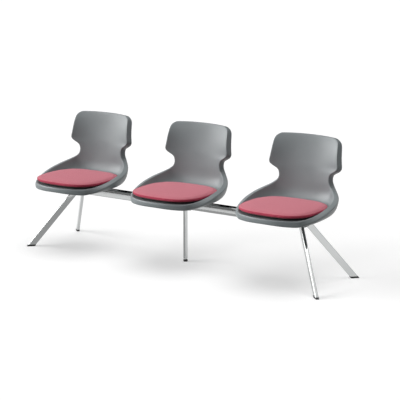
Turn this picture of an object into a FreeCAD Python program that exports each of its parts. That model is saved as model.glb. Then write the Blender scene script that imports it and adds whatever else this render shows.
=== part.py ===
import FreeCAD, Part
import math
import os

# Beam seating for three: moulded shells with seat pads on one chromed beam with five legs.
# Millimetres. X runs along the beam, sitters face -Y, Z is up, and the floor is z = 0.

# driving dimensions of the row
SEAT_PITCH = 710.0
SEAT_PLACES = {"left": -SEAT_PITCH, "middle": 0.0, "right": SEAT_PITCH}

# beam: rectangular tube under the seats
BEAM_HALF_LENGTH = 800.0
BEAM_DEPTH = 50.0
BEAM_BOTTOM = 320.0
BEAM_TOP = 368.0
BEAM_WALL = 3.0
BEAM_EDGE = 5.0
CAP_PLATE = 4.0
CAP_PLUG = 13.0
FIT = 0.2

# M8 and M6 fasteners
BOLT_RADIUS = 4.0
BOLT_BORE = 4.5
BOLT_FLATS = 13.0
BOLT_HEAD = 5.3
NUT_HEIGHT = 6.5
NUT_BORE = 4.1
SCREW_RADIUS = 3.0
SCREW_BORE = 3.4
SCREW_FLATS = 10.0
SCREW_HEAD = 4.0
BOLT_END = 328.0

# legs: flat tube, wide side upright, splayed along and across the beam towards one apex
LEG_WIDE = 36.0
LEG_THIN = 18.0
LEG_EDGE = 4.0
LEG_WALL = 2.0
FOOT_REACH_X = 989.0
FOOT_REACH_Y = 231.0
APEX_X = 745.0
APEX_HEIGHT = 396.0
CAP_HEIGHT = 10.0
CAP_LIP = 1.0
CAP_DEPTH = 36.0

# saddles: folded plates that wrap the beam
SADDLE_WALL = 4.0
LEG_SADDLE = (752.0, 800.0)
LEG_SADDLE_TOP = 374.0
LEG_SADDLE_BOLTS = (760.0, 777.0)

# middle leg with its levelling foot
MIDDLE_WIDE = 26.0
MIDDLE_THIN = 16.0
MIDDLE_WALL = 1.5
MIDDLE_EDGE = 3.0
MIDDLE_PLATE = 5.0
MIDDLE_PLATE_HALF = 45.0
MIDDLE_BOLT_X = 32.0
MIDDLE_LEG_BOTTOM = 14.0
MIDDLE_INSERT_TOP = 36.0
STEM_RADIUS = 4.0
STEM_TOP = 48.0
STEM_CLEARANCE = 0.35
DISC_RADIUS = 13.0
DISC_HEIGHT = 10.0

# seat bracket: a saddle over the beam, a spacer and a plate with folded edges
BRACKET_SADDLE_HALF = 36.0
BRACKET_SADDLE_BOTTOM = 330.0
BRACKET_BOLT_X = 20.0
BRACKET_BOLT_HEIGHT = 346.0
BRACKET_TOP = 382.0
BRACKET_PLATE = 4.0
BRACKET_FOLD = 12.0
BRACKET_HALF_WIDTH = 105.0
BRACKET_FRONT = -165.0
BRACKET_REAR = 50.0
SPACER_HALF_DEPTH = 20.0
SCREW_X = 82.0
SCREW_Y = (-140.0, 25.0)
INSERT_FLATS = 10.0
INSERT_LENGTH = 14.0

# shell: thickness of the moulded foam, roundness of its rim and the flat boss on its underside
SHELL_THICKNESS = 28.0
RIM_BULGE = 6.0
MITRE_LIMIT = 0.7
BOSS_HALF_WIDTH = 110.0
BOSS_FRONT = -170.0
BOSS_REAR = 60.0
BOSS_TOP = 400.0

# seat pad: an oval upholstered cushion on a board that plugs into the shell
PAD_HALF_WIDTH = 235.0
PAD_HALF_DEPTH = 213.0
PAD_MIDDLE_Y = -108.0
PAD_POWER = 2.7
PAD_SIDES = 32
BOARD_SCALE = 0.84
BOARD_BOTTOM = 421.0
PAD_BOTTOM = 427.0
# outlines of the cushion from its underside to its crown: share of the full oval, height
PAD_LEVELS = ((0.9, PAD_BOTTOM), (0.965, 432.0), (1.0, 440.0), (0.98, 446.0), (0.92, 450.0), (0.74, 454.0), (0.4, 456.0))
STUD_X = 110.0
STUD_Y = (-190.0, -20.0)
STUD_WIDE = 12.0
STUD_FLOOR = 404.0


def vec(x, y, z):
    return FreeCAD.Vector(x, y, z)


X_AXIS = vec(1, 0, 0)
Y_AXIS = vec(0, 1, 0)
Z_AXIS = vec(0, 0, 1)


def box(x, y, z):
    """A block between the pairs of limits x, y and z."""
    size = (x[1] - x[0], y[1] - y[0], z[1] - z[0])
    return Part.makeBox(*size, vec(x[0], y[0], z[0]))


def rod(radius, start, length, axis):
    return Part.makeCylinder(radius, length, start, axis)


def hexagon(across_flats, height, base, axis):
    """A hexagonal prism that stands on base and rises along axis."""
    radius = across_flats / math.sqrt(3)
    corners = [vec(radius * math.cos(k * math.pi / 3), radius * math.sin(k * math.pi / 3), 0) for k in range(7)]
    prism = Part.Face(Part.makePolygon(corners)).extrude(Z_AXIS * height)
    prism.Placement = FreeCAD.Placement(base, FreeCAD.Rotation(Z_AXIS, axis))
    return prism


def rounded_rectangle(wide, thin, edge, centre, wide_way, thin_way):
    """A flat tube's outline: lines joined by quarter arcs, in the plane of its two directions."""
    def at(a, b):
        return centre + wide_way * a + thin_way * b

    a, b = wide / 2, thin / 2
    corners = [(a, b, 1, 1), (-a, b, -1, 1), (-a, -b, -1, -1), (a, -b, 1, -1)]
    reach = edge * (1 - math.sqrt(0.5))
    stops = []
    for x, y, sx, sy in corners:
        first, last = at(x, y - sy * edge), at(x - sx * edge, y)
        if sx * sy < 0:
            first, last = last, first
        stops.append((first, at(x - sx * reach, y - sy * reach), last))
    edges = []
    for k, (first, middle, last) in enumerate(stops):
        edges.append(Part.Arc(first, middle, last).toShape())
        edges.append(Part.makeLine(last, stops[(k + 1) % 4][0]))
    return Part.Wire(edges)


def one(shape):
    """The single solid of a shape, with its split faces merged."""
    solids = shape.removeSplitter().Solids
    assert len(solids) == 1, "expected one solid, got %d" % len(solids)
    return solids[0]


def closed_solid(faces):
    """The solid inside faces that meet edge to edge."""
    skin = Part.makeShell(faces)
    skin.sewShape()
    solid = Part.makeSolid(skin)
    if solid.Volume < 0:
        solid.reverse()
    return solid


def moved(shape, x):
    copy = shape.copy()
    copy.translate(X_AXIS * x)
    return copy


def mirrored(shape, normal):
    return shape.mirror(vec(0, 0, 0), normal)


# The shell's sitting surface is drawn by a smooth cage of rows, from the front edge over the seat
# and up the back. Each row: its middle (y, z), the end of the row at the rim (x, y, z), and how late
# the row starts to move to the rim in y and in z: a high number keeps it straight up to a steep wall.
SHELL_ROWS = (
    (-319, 415, 185, -257, 418, 2.3, 12),
    (-298, 415, 203, -230, 422, 2.3, 20),
    (-245, 415, 228, -178, 430, 2.3, 30),
    (-160, 414, 241, -115, 443, 2.3, 30),
    (-70, 413, 244, -60, 456, 2.3, 30),
    (15, 411, 241, -5, 467, 2.3, 30),
    (85, 414, 229, 42, 480, 3, 25),
    (122, 440, 208, 82, 494, 4, 16),
    (134, 478, 182, 110, 511, 4, 10),
    (137, 512, 161, 120, 530, 4, 5),
    (139, 540, 151, 119, 549, 4, 3),
    (141, 568, 155, 119, 572, 4, 3),
    (144, 596, 184, 116, 600, 4, 3),
    (147, 625, 216, 115, 630, 4, 3),
    (152, 665, 210, 122, 668, 4, 3),
    (159, 720, 205, 134, 722, 4, 3),
    (166, 765, 201, 148, 757, 4, 3),
    (170, 797, 184, 160, 781, 4, 3),
)
ACROSS = (-1.0, -0.96, -0.8, -0.42, 0.0, 0.42, 0.8, 0.96, 1.0)
# pieces that each span of the cage is cut into: more where the profile bends
PIECES_ALONG = (1, 1, 1, 1, 1, 2, 3, 2, 1, 1, 1, 2, 1, 1, 2)
PIECES_ACROSS = (4, 2, 2, 2, 2, 4)


def shell_cage():
    rows = []
    for middle_y, middle_z, rim_x, rim_y, rim_z, late_y, late_z in SHELL_ROWS:
        row = []
        for u in ACROSS:
            y = middle_y + (rim_y - middle_y) * abs(u) ** late_y
            z = middle_z + (rim_z - middle_z) * abs(u) ** late_z
            row.append(vec(rim_x * u, y, z))
        rows.append(row)
    return rows


def offset_cage(cage, distance):
    """The cage moved off its own surface, away from the sitter, with its corners mitred."""
    rows = []
    for j, row in enumerate(cage):
        before, after = cage[max(j - 1, 0)], cage[min(j + 1, len(cage) - 1)]
        moved_row = []
        for i, point in enumerate(row):
            near = row[max(i - 1, 0):i + 2]
            legs = [(b - a).normalize() for a, b in zip(near, near[1:])]
            across = (legs[0] + legs[-1]) * 0.5
            mitre = max(across.Length, MITRE_LIMIT)
            along = after[i] - before[i]
            moved_row.append(point - across.cross(along).normalize() * (distance / mitre))
        rows.append(moved_row)
    return rows


def smooth_surface(cage):
    """A cubic surface drawn by its cage, clamped at all four sides."""
    long_count, wide_count = len(cage), len(cage[0])
    surface = Part.BSplineSurface()
    surface.buildFromPolesMultsKnots(
        cage,
        [4] + [1] * (long_count - 4) + [4],
        [4] + [1] * (wide_count - 4) + [4],
        [float(k) for k in range(long_count - 2)],
        [float(k) for k in range(wide_count - 2)],
        False, False, 3, 3)
    return surface


def stops(pieces):
    """The parameters at which the spans of the cage are cut."""
    cuts = [k + d / count for k, count in enumerate(pieces) for d in range(count)]
    return cuts + [float(len(pieces))]


def rim_points(inner, outer, v, u, away):
    """Two points of the rounded rim between the surfaces at one place."""
    start, end = inner.value(v, u), outer.value(v, u)
    through = end - start
    bulge = away * RIM_BULGE
    return [start + bulge + through * 0.18, end + bulge - through * 0.22]


def rim_direction(surface, v, u):
    """The direction that leaves the surface over the nearest of its four sides."""
    along, across = surface.getDN(v, u, 1, 0), surface.getDN(v, u, 0, 1)
    normal = along.cross(across)
    last_v, last_u = surface.bounds()[1], surface.bounds()[3]
    if u in (0.0, last_u):
        away = along.cross(normal).normalize()
        outward = across if u > 0 else across * -1
    else:
        away = across.cross(normal).normalize()
        outward = along if v == last_v else along * -1
    return away if away.dot(outward) > 0 else away * -1


def patch(a, b, c, d):
    """Two flat facets between four points, split along the shorter diagonal."""
    if a.distanceToPoint(c) > b.distanceToPoint(d):
        a, b, c, d = b, c, d, a
    return [Part.Face(Part.makePolygon([a, b, c, a])), Part.Face(Part.makePolygon([a, c, d, a]))]


def shell_skin():
    """The shell's faces: rings of points round the section, joined by facets, and the two end rims."""
    inner = smooth_surface(shell_cage())
    outer = smooth_surface(offset_cage(shell_cage(), SHELL_THICKNESS))
    along, across = stops(PIECES_ALONG), stops(PIECES_ACROSS)
    rings = []
    for v in along:
        left = rim_points(inner, outer, v, across[0], rim_direction(inner, v, across[0]))
        right = rim_points(inner, outer, v, across[-1], rim_direction(inner, v, across[-1]))
        front = [inner.value(v, u) for u in across]
        back = [outer.value(v, u) for u in reversed(across)]
        rings.append(front + right + back + left[::-1])
    count = len(rings[0])
    faces = []
    for low, high in zip(rings, rings[1:]):
        for k in range(count):
            faces += patch(low[k], low[(k + 1) % count], high[(k + 1) % count], high[k])
    for v, ring in ((along[0], rings[0]), (along[-1], rings[-1])):
        faces += end_rim(inner, outer, v, across, ring)
    return faces


def end_rim(inner, outer, v, across, ring):
    """The rim along the front edge or the top edge, between the two side rims."""
    last = len(across) - 1
    columns = []
    for i, u in enumerate(across):
        if i == 0:
            middle = [ring[-1], ring[-2]]
        elif i == last:
            middle = [ring[last + 1], ring[last + 2]]
        else:
            middle = rim_points(inner, outer, v, u, rim_direction(inner, v, u))
        columns.append([inner.value(v, u)] + middle + [outer.value(v, u)])
    faces = []
    for left, right in zip(columns, columns[1:]):
        for k in range(3):
            faces += patch(left[k], right[k], right[k + 1], left[k + 1])
    return faces


def at_corners(x, ys):
    """The four places left and right of the middle, at the two depths."""
    return [(side * x, y) for side in (-1, 1) for y in ys]


def shell():
    """One moulded seat shell at the middle place, with its boss, insert bores and stud holes."""
    body = closed_solid(shell_skin())
    boss = box((-BOSS_HALF_WIDTH, BOSS_HALF_WIDTH), (BOSS_FRONT, BOSS_REAR), (BRACKET_TOP, BOSS_TOP))
    body = one(body.fuse(boss))
    for x, y in at_corners(SCREW_X, SCREW_Y):
        body = body.cut(hexagon(INSERT_FLATS + 0.1, INSERT_LENGTH + 1, vec(x, y, BRACKET_TOP), Z_AXIS))
    half = STUD_WIDE / 2 + FIT
    for x, y in at_corners(STUD_X, STUD_Y):
        body = body.cut(box((x - half, x + half), (y - half, y + half), (STUD_FLOOR, BOARD_BOTTOM)))
    return one(body)


def shell_inserts():
    inserts = []
    for x, y in at_corners(SCREW_X, SCREW_Y):
        base = vec(x, y, BRACKET_TOP)
        sleeve = hexagon(INSERT_FLATS, INSERT_LENGTH, base, Z_AXIS)
        inserts.append(one(sleeve.cut(rod(SCREW_RADIUS + FIT, base, INSERT_LENGTH, Z_AXIS))))
    return Part.makeCompound(inserts)


def shell_screws():
    screws = []
    for x, y in at_corners(SCREW_X, SCREW_Y):
        under = vec(x, y, BRACKET_TOP - BRACKET_PLATE)
        head = hexagon(SCREW_FLATS, SCREW_HEAD, under, Z_AXIS * -1)
        shank = rod(SCREW_RADIUS, under, BRACKET_PLATE + INSERT_LENGTH - 2, Z_AXIS)
        screws.append(one(head.fuse(shank)))
    return Part.makeCompound(screws)


def oval(share, z):
    """The corners of the pad's outline at a share of its size: a rounded oval of many short sides."""
    corners = []
    for k in range(PAD_SIDES):
        turn = 2 * math.pi * k / PAD_SIDES
        c, s = math.cos(turn), math.sin(turn)
        x = PAD_HALF_WIDTH * math.copysign(abs(c) ** (2 / PAD_POWER), c)
        y = PAD_HALF_DEPTH * math.copysign(abs(s) ** (2 / PAD_POWER), s)
        corners.append(vec(x * share, PAD_MIDDLE_Y + y * share, z))
    return corners


def flat_face(corners):
    return Part.Face(Part.makePolygon(corners + corners[:1]))


def seat_pad():
    """The cushion: drawn-in sides and a low crown."""
    rings = [oval(share, z) for share, z in PAD_LEVELS]
    faces = [flat_face(rings[0]), flat_face(rings[-1])]
    for low, high in zip(rings, rings[1:]):
        for k in range(PAD_SIDES):
            following = (k + 1) % PAD_SIDES
            faces += patch(low[k], low[following], high[following], high[k])
    return closed_solid(faces)


def pad_board():
    return one(flat_face(oval(BOARD_SCALE, BOARD_BOTTOM)).extrude(Z_AXIS * (PAD_BOTTOM - BOARD_BOTTOM)))


def pad_studs():
    """Square pegs under the board that plug into sockets in the shell."""
    half = STUD_WIDE / 2
    studs = []
    for x, y in at_corners(STUD_X, STUD_Y):
        studs.append(box((x - half, x + half), (y - half, y + half), (STUD_FLOOR, BOARD_BOTTOM)))
    return Part.makeCompound(studs)


def seat_bracket():
    """Welded bracket: saddle over the beam, spacer, and the plate that carries the shell."""
    inside = BEAM_DEPTH / 2 + FIT
    flank = inside + SADDLE_WALL
    half = (-BRACKET_SADDLE_HALF, BRACKET_SADDLE_HALF)
    web_top = BEAM_TOP + SADDLE_WALL
    plate_bottom = BRACKET_TOP - BRACKET_PLATE
    saddle = box(half, (-flank, flank), (BRACKET_SADDLE_BOTTOM, web_top))
    saddle = saddle.cut(box(half, (-inside, inside), (BRACKET_SADDLE_BOTTOM, BEAM_TOP)))
    spacer = box(half, (-SPACER_HALF_DEPTH, SPACER_HALF_DEPTH), (web_top, plate_bottom))
    depth = (BRACKET_FRONT, BRACKET_REAR)
    plate = box((-BRACKET_HALF_WIDTH, BRACKET_HALF_WIDTH), depth, (plate_bottom, BRACKET_TOP))
    bracket = saddle.fuse([spacer, plate])
    for side in (-1, 1):
        x = sorted((side * BRACKET_HALF_WIDTH, side * (BRACKET_HALF_WIDTH - BRACKET_PLATE)))
        bracket = bracket.fuse(box(x, depth, (BRACKET_TOP - BRACKET_FOLD, plate_bottom)))
        bore = vec(side * BRACKET_BOLT_X, -flank, BRACKET_BOLT_HEIGHT)
        bracket = bracket.cut(rod(BOLT_BORE, bore, 2 * flank, Y_AXIS))
    for x, y in at_corners(SCREW_X, SCREW_Y):
        bracket = bracket.cut(rod(SCREW_BORE, vec(x, y, plate_bottom), BRACKET_PLATE, Z_AXIS))
    return one(bracket)


def bracket_bolts():
    flank = BEAM_DEPTH / 2 + FIT + SADDLE_WALL
    bolts = []
    for x in (-BRACKET_BOLT_X, BRACKET_BOLT_X):
        start = vec(x, -flank, BRACKET_BOLT_HEIGHT)
        head = hexagon(BOLT_FLATS, BOLT_HEAD, start, Y_AXIS * -1)
        bolts.append(one(head.fuse(rod(BOLT_RADIUS, start, 2 * flank + NUT_HEIGHT + 2, Y_AXIS))))
    return Part.makeCompound(bolts)


def bracket_nuts():
    flank = BEAM_DEPTH / 2 + FIT + SADDLE_WALL
    nuts = []
    for x in (-BRACKET_BOLT_X, BRACKET_BOLT_X):
        start = vec(x, flank, BRACKET_BOLT_HEIGHT)
        nut = hexagon(BOLT_FLATS, NUT_HEIGHT, start, Y_AXIS)
        nuts.append(one(nut.cut(rod(NUT_BORE, start, NUT_HEIGHT, Y_AXIS))))
    return Part.makeCompound(nuts)


def beam_tube():
    """The beam with its bolt holes: across for the seats, in the bottom for the legs."""
    height = BEAM_TOP - BEAM_BOTTOM
    start = vec(-BEAM_HALF_LENGTH, 0, (BEAM_TOP + BEAM_BOTTOM) / 2)
    length = X_AXIS * (2 * BEAM_HALF_LENGTH)
    outside = Part.Face(rounded_rectangle(BEAM_DEPTH, height, BEAM_EDGE, start, Y_AXIS, Z_AXIS))
    bore = rounded_rectangle(
        BEAM_DEPTH - 2 * BEAM_WALL, height - 2 * BEAM_WALL, BEAM_EDGE - BEAM_WALL, start, Y_AXIS, Z_AXIS)
    tube = outside.extrude(length).cut(Part.Face(bore).extrude(length))
    for place in SEAT_PLACES.values():
        for side in (-1, 1):
            hole = vec(place + side * BRACKET_BOLT_X, -BEAM_DEPTH / 2, BRACKET_BOLT_HEIGHT)
            tube = tube.cut(rod(BOLT_BORE, hole, BEAM_DEPTH, Y_AXIS))
    for x in (MIDDLE_BOLT_X, *LEG_SADDLE_BOLTS):
        for side in (-1, 1):
            tube = tube.cut(rod(NUT_BORE, vec(side * x, 0, BEAM_BOTTOM), BEAM_WALL, Z_AXIS))
    return one(tube)


def right_beam_cap():
    """Moulded cap with a plug that fits the end of the beam."""
    height = BEAM_TOP - BEAM_BOTTOM
    middle = vec(BEAM_HALF_LENGTH, 0, (BEAM_TOP + BEAM_BOTTOM) / 2)
    plate = Part.Face(rounded_rectangle(BEAM_DEPTH, height, BEAM_EDGE, middle, Y_AXIS, Z_AXIS))
    inset = 2 * (BEAM_WALL + FIT)
    plug = Part.Face(rounded_rectangle(BEAM_DEPTH - inset, height - inset, BEAM_WALL, middle, Y_AXIS, Z_AXIS))
    return one(plate.extrude(X_AXIS * CAP_PLATE).fuse(plug.extrude(X_AXIS * -CAP_PLUG)))


def right_leg_saddle():
    """U-shaped plate under the end of the beam, with the leg tubes welded to its sides."""
    inside = BEAM_DEPTH / 2 + FIT
    flank = inside + SADDLE_WALL
    saddle = box(LEG_SADDLE, (-flank, flank), (BEAM_BOTTOM - SADDLE_WALL, LEG_SADDLE_TOP))
    saddle = saddle.cut(box(LEG_SADDLE, (-inside, inside), (BEAM_BOTTOM, LEG_SADDLE_TOP)))
    for x in LEG_SADDLE_BOLTS:
        saddle = saddle.cut(rod(BOLT_BORE, vec(x, 0, BEAM_BOTTOM - SADDLE_WALL), SADDLE_WALL, Z_AXIS))
    return one(saddle)


def upright_bolt(x, under):
    """A bolt from below with its head under the height given, threaded into the beam."""
    start = vec(x, 0, under)
    head = hexagon(BOLT_FLATS, BOLT_HEAD, start, Z_AXIS * -1)
    return one(head.fuse(rod(BOLT_RADIUS, start, BOLT_END - under, Z_AXIS)))


def right_saddle_bolts():
    return Part.makeCompound([upright_bolt(x, BEAM_BOTTOM - SADDLE_WALL) for x in LEG_SADDLE_BOLTS])


def middle_leg_bolts():
    return Part.makeCompound([upright_bolt(x, BEAM_BOTTOM - MIDDLE_PLATE) for x in (-MIDDLE_BOLT_X, MIDDLE_BOLT_X)])


def leg_bar(wide, thin, edge):
    """A solid bar along the line of the right rear leg, long enough to be cut at both ends."""
    foot, apex = vec(FOOT_REACH_X, FOOT_REACH_Y, 0), vec(APEX_X, 0, APEX_HEIGHT)
    way = (apex - foot).normalize()
    thin_way = way.cross(Z_AXIS).normalize()
    wide_way = thin_way.cross(way)
    start = foot - way * LEG_WIDE
    face = Part.Face(rounded_rectangle(wide, thin, edge, start, wide_way, thin_way))
    return face.extrude(way * (apex - start).Length)


def slab(low, high):
    """The space between two heights around the right rear leg, up to the side of the saddle."""
    flank = BEAM_DEPTH / 2 + FIT + SADDLE_WALL
    return box((APEX_X - LEG_WIDE, FOOT_REACH_X + 2 * LEG_WIDE), (flank, FOOT_REACH_Y + 2 * LEG_WIDE), (low, high))


def right_rear_leg():
    """Flat tube, cut level at the foot and upright against the saddle."""
    tube = leg_bar(LEG_WIDE, LEG_THIN, LEG_EDGE)
    tube = tube.cut(leg_bar(LEG_WIDE - 2 * LEG_WALL, LEG_THIN - 2 * LEG_WALL, LEG_EDGE - LEG_WALL))
    return one(tube.common(slab(CAP_HEIGHT, LEG_SADDLE_TOP)))


def right_rear_foot():
    """Moulded cap on the floor with a plug up into the leg."""
    cap = leg_bar(LEG_WIDE + 2 * CAP_LIP, LEG_THIN + 2 * CAP_LIP, LEG_EDGE + CAP_LIP).common(slab(0, CAP_HEIGHT))
    inset = 2 * (LEG_WALL + FIT)
    plug = leg_bar(LEG_WIDE - inset, LEG_THIN - inset, LEG_EDGE - LEG_WALL).common(slab(CAP_HEIGHT, CAP_DEPTH))
    return one(cap.fuse(plug))


def middle_leg():
    """Upright tube with the plate that bolts under the beam."""
    base = vec(0, 0, MIDDLE_LEG_BOTTOM)
    plate_bottom = BEAM_BOTTOM - MIDDLE_PLATE
    rise = Z_AXIS * (plate_bottom - MIDDLE_LEG_BOTTOM)
    outside = rounded_rectangle(MIDDLE_WIDE, MIDDLE_THIN, MIDDLE_EDGE, base, Y_AXIS, X_AXIS)
    bore = rounded_rectangle(
        MIDDLE_WIDE - 2 * MIDDLE_WALL, MIDDLE_THIN - 2 * MIDDLE_WALL, MIDDLE_EDGE - MIDDLE_WALL, base, Y_AXIS, X_AXIS)
    tube = Part.Face(outside).extrude(rise).cut(Part.Face(bore).extrude(rise))
    reach = (-MIDDLE_PLATE_HALF, MIDDLE_PLATE_HALF)
    plate = box(reach, (-BEAM_DEPTH / 2, BEAM_DEPTH / 2), (plate_bottom, BEAM_BOTTOM))
    for x in (-MIDDLE_BOLT_X, MIDDLE_BOLT_X):
        plate = plate.cut(rod(BOLT_BORE, vec(x, 0, plate_bottom), MIDDLE_PLATE, Z_AXIS))
    return one(tube.fuse(plate))


def middle_leg_insert():
    """Plug in the foot of the middle leg that the levelling screw runs in."""
    base = vec(0, 0, MIDDLE_LEG_BOTTOM)
    height = MIDDLE_INSERT_TOP - MIDDLE_LEG_BOTTOM
    inset = 2 * (MIDDLE_WALL + FIT)
    outline = rounded_rectangle(
        MIDDLE_WIDE - inset, MIDDLE_THIN - inset, MIDDLE_EDGE - MIDDLE_WALL, base, Y_AXIS, X_AXIS)
    plug = Part.Face(outline).extrude(Z_AXIS * height)
    return one(plug.cut(rod(STEM_RADIUS + STEM_CLEARANCE, base, height, Z_AXIS)))


def levelling_foot():
    """A round foot with a screw stem that runs up into the insert."""
    floor = vec(0, 0, 0)
    return one(rod(DISC_RADIUS, floor, DISC_HEIGHT, Z_AXIS).fuse(rod(STEM_RADIUS, floor, STEM_TOP, Z_AXIS)))


def seat_nodes():
    """The pieces of the middle seat, by their plain names."""
    return {
        "seat_bracket": seat_bracket(),
        "bracket_bolts": bracket_bolts(),
        "bracket_nuts": bracket_nuts(),
        "shell": shell(),
        "shell_inserts": shell_inserts(),
        "shell_screws": shell_screws(),
        "pad_board": pad_board(),
        "pad_studs": pad_studs(),
        "seat_pad": seat_pad(),
    }


def end_nodes():
    """The pieces of both ends of the row, mirrored from the right rear one."""
    nodes = {}
    for name, shape in (("beam_cap", right_beam_cap()), ("leg_saddle", right_leg_saddle()),
                        ("saddle_bolts", right_saddle_bolts())):
        nodes["right_" + name] = shape
        nodes["left_" + name] = mirrored(shape, X_AXIS)
    for name, shape in (("leg", right_rear_leg()), ("foot", right_rear_foot())):
        nodes["right_rear_" + name] = shape
        nodes["right_front_" + name] = mirrored(shape, Y_AXIS)
        nodes["left_rear_" + name] = mirrored(shape, X_AXIS)
        nodes["left_front_" + name] = mirrored(mirrored(shape, X_AXIS), Y_AXIS)
    return nodes


def all_nodes():
    nodes = {
        "beam_tube": beam_tube(),
        "middle_leg": middle_leg(),
        "middle_leg_bolts": middle_leg_bolts(),
        "middle_leg_insert": middle_leg_insert(),
        "levelling_foot": levelling_foot(),
    }
    nodes.update(end_nodes())
    for name, shape in seat_nodes().items():
        for seat, place in SEAT_PLACES.items():
            nodes[seat + "_" + name] = moved(shape, place)
    return nodes


if __name__ == "__main__":
    os.makedirs("parts", exist_ok=True)
    for node, shape in all_nodes().items():
        assert shape.isValid(), node
        shape.exportStep(os.path.join("parts", node + ".step"))
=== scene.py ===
import logging
import math
from dataclasses import dataclass
from enum import Enum

import bpy
import numpy as np
from mathutils import Matrix, Vector
from mathutils.bvhtree import BVHTree


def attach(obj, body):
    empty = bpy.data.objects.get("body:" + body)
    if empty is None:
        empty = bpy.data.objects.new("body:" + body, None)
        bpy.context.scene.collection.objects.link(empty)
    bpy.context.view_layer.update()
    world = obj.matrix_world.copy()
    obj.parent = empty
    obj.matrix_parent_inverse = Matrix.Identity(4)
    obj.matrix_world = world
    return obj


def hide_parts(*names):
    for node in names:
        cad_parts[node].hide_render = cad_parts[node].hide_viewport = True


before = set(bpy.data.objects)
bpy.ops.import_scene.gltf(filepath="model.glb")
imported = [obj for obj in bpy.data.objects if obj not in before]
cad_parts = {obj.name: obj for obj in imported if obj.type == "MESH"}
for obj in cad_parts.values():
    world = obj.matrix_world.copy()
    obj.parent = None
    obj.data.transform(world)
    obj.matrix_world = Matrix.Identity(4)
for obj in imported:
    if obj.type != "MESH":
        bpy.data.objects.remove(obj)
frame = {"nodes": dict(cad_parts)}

# Beam seating for three: moulded grey shells with rose seat pads on a chromed beam and legs.
# Metres, in the frame of the CAD part: X along the beam, sitters face -Y, Z up, floor at 0.

log = logging.getLogger("beam_seating")
MM = 0.001
SEAT_PITCH = 0.710
# corners of a six-sided thread, across and up
HEXAGON = ((1, 0), (0.5, 0.87), (-0.5, 0.87), (-1, 0), (-0.5, -0.87), (0.5, -0.87))


class Seat(Enum):
    """The three places on the beam and how far along it they stand."""

    LEFT = -SEAT_PITCH
    MIDDLE = 0.0
    RIGHT = SEAT_PITCH

    @property
    def word(self) -> str:
        """The seat's name in the CAD nodes."""
        return self.name.lower()


def linear(code: str) -> tuple[float, float, float, float]:
    """Turns an sRGB hex colour to linear.

    Args:
        code: Six hex digits.

    Returns:
        Linear red, green, blue and an alpha of 1.
    """
    parts = [int(code[k:k + 2], 16) / 255 for k in (0, 2, 4)]
    values = [p / 12.92 if p <= 0.04045 else ((p + 0.055) / 1.055) ** 2.4 for p in parts]
    return values[0], values[1], values[2], 1.0


def add_node(tree: bpy.types.NodeTree, kind: str, inputs: dict | None = None,
             stops: tuple = (), **settings: object) -> bpy.types.Node:
    """Adds one shader node with its settings, colour stops and links.

    Args:
        tree: The node tree of the material.
        kind: The node's type name.
        inputs: Socket name or number to a value, or to an output socket that feeds it.
        stops: For a colour ramp, the place and linear colour of its two stops.
        settings: The node's own properties.

    Returns:
        The new node.
    """
    node = tree.nodes.new(kind)
    for name, value in settings.items():
        setattr(node, name, value)
    for key, value in (inputs or {}).items():
        socket = node.inputs[key]
        if isinstance(value, bpy.types.NodeSocket):
            tree.links.new(value, socket)
        else:
            socket.default_value = value
    if stops:
        for element, (place, colour) in zip(node.color_ramp.elements, stops):
            element.position, element.color = place, colour
    return node


def per_metre(size_mm: float) -> float:
    """The scale of a noise whose features are about this many millimetres."""
    return 1000.0 / size_mm


def wave_scale(period_mm: float) -> float:
    """The scale of a wave texture whose bands repeat at this many millimetres."""
    return 2 * math.pi / (20 * period_mm * MM)


def new_material(name: str) -> tuple[bpy.types.Material, bpy.types.NodeTree]:
    """Makes a material with an empty node tree.

    Args:
        name: What it is called.

    Returns:
        The material and its tree.
    """
    material = bpy.data.materials.new(name)
    material.use_nodes = True
    material.node_tree.nodes.clear()
    return material, material.node_tree


@dataclass(frozen=True)
class Finish:
    """What every finish has: a name, and the first and last nodes of its tree."""

    name: str

    def start(self) -> tuple[bpy.types.Material, bpy.types.NodeTree, bpy.types.NodeSocket]:
        """Makes the material and the coordinates that its patterns follow.

        Returns:
            The material, its tree and the object coordinates.
        """
        material, tree = new_material(self.name)
        return material, tree, add_node(tree, "ShaderNodeTexCoord").outputs["Object"]

    def close(self, tree: bpy.types.NodeTree, inputs: dict) -> None:
        """Adds the principled shader with these inputs, and the output."""
        shader = add_node(tree, "ShaderNodeBsdfPrincipled", inputs)
        add_node(tree, "ShaderNodeOutputMaterial", {"Surface": shader.outputs["BSDF"]})

    def make(self) -> bpy.types.Material:
        """Builds the material."""
        raise NotImplementedError


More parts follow.
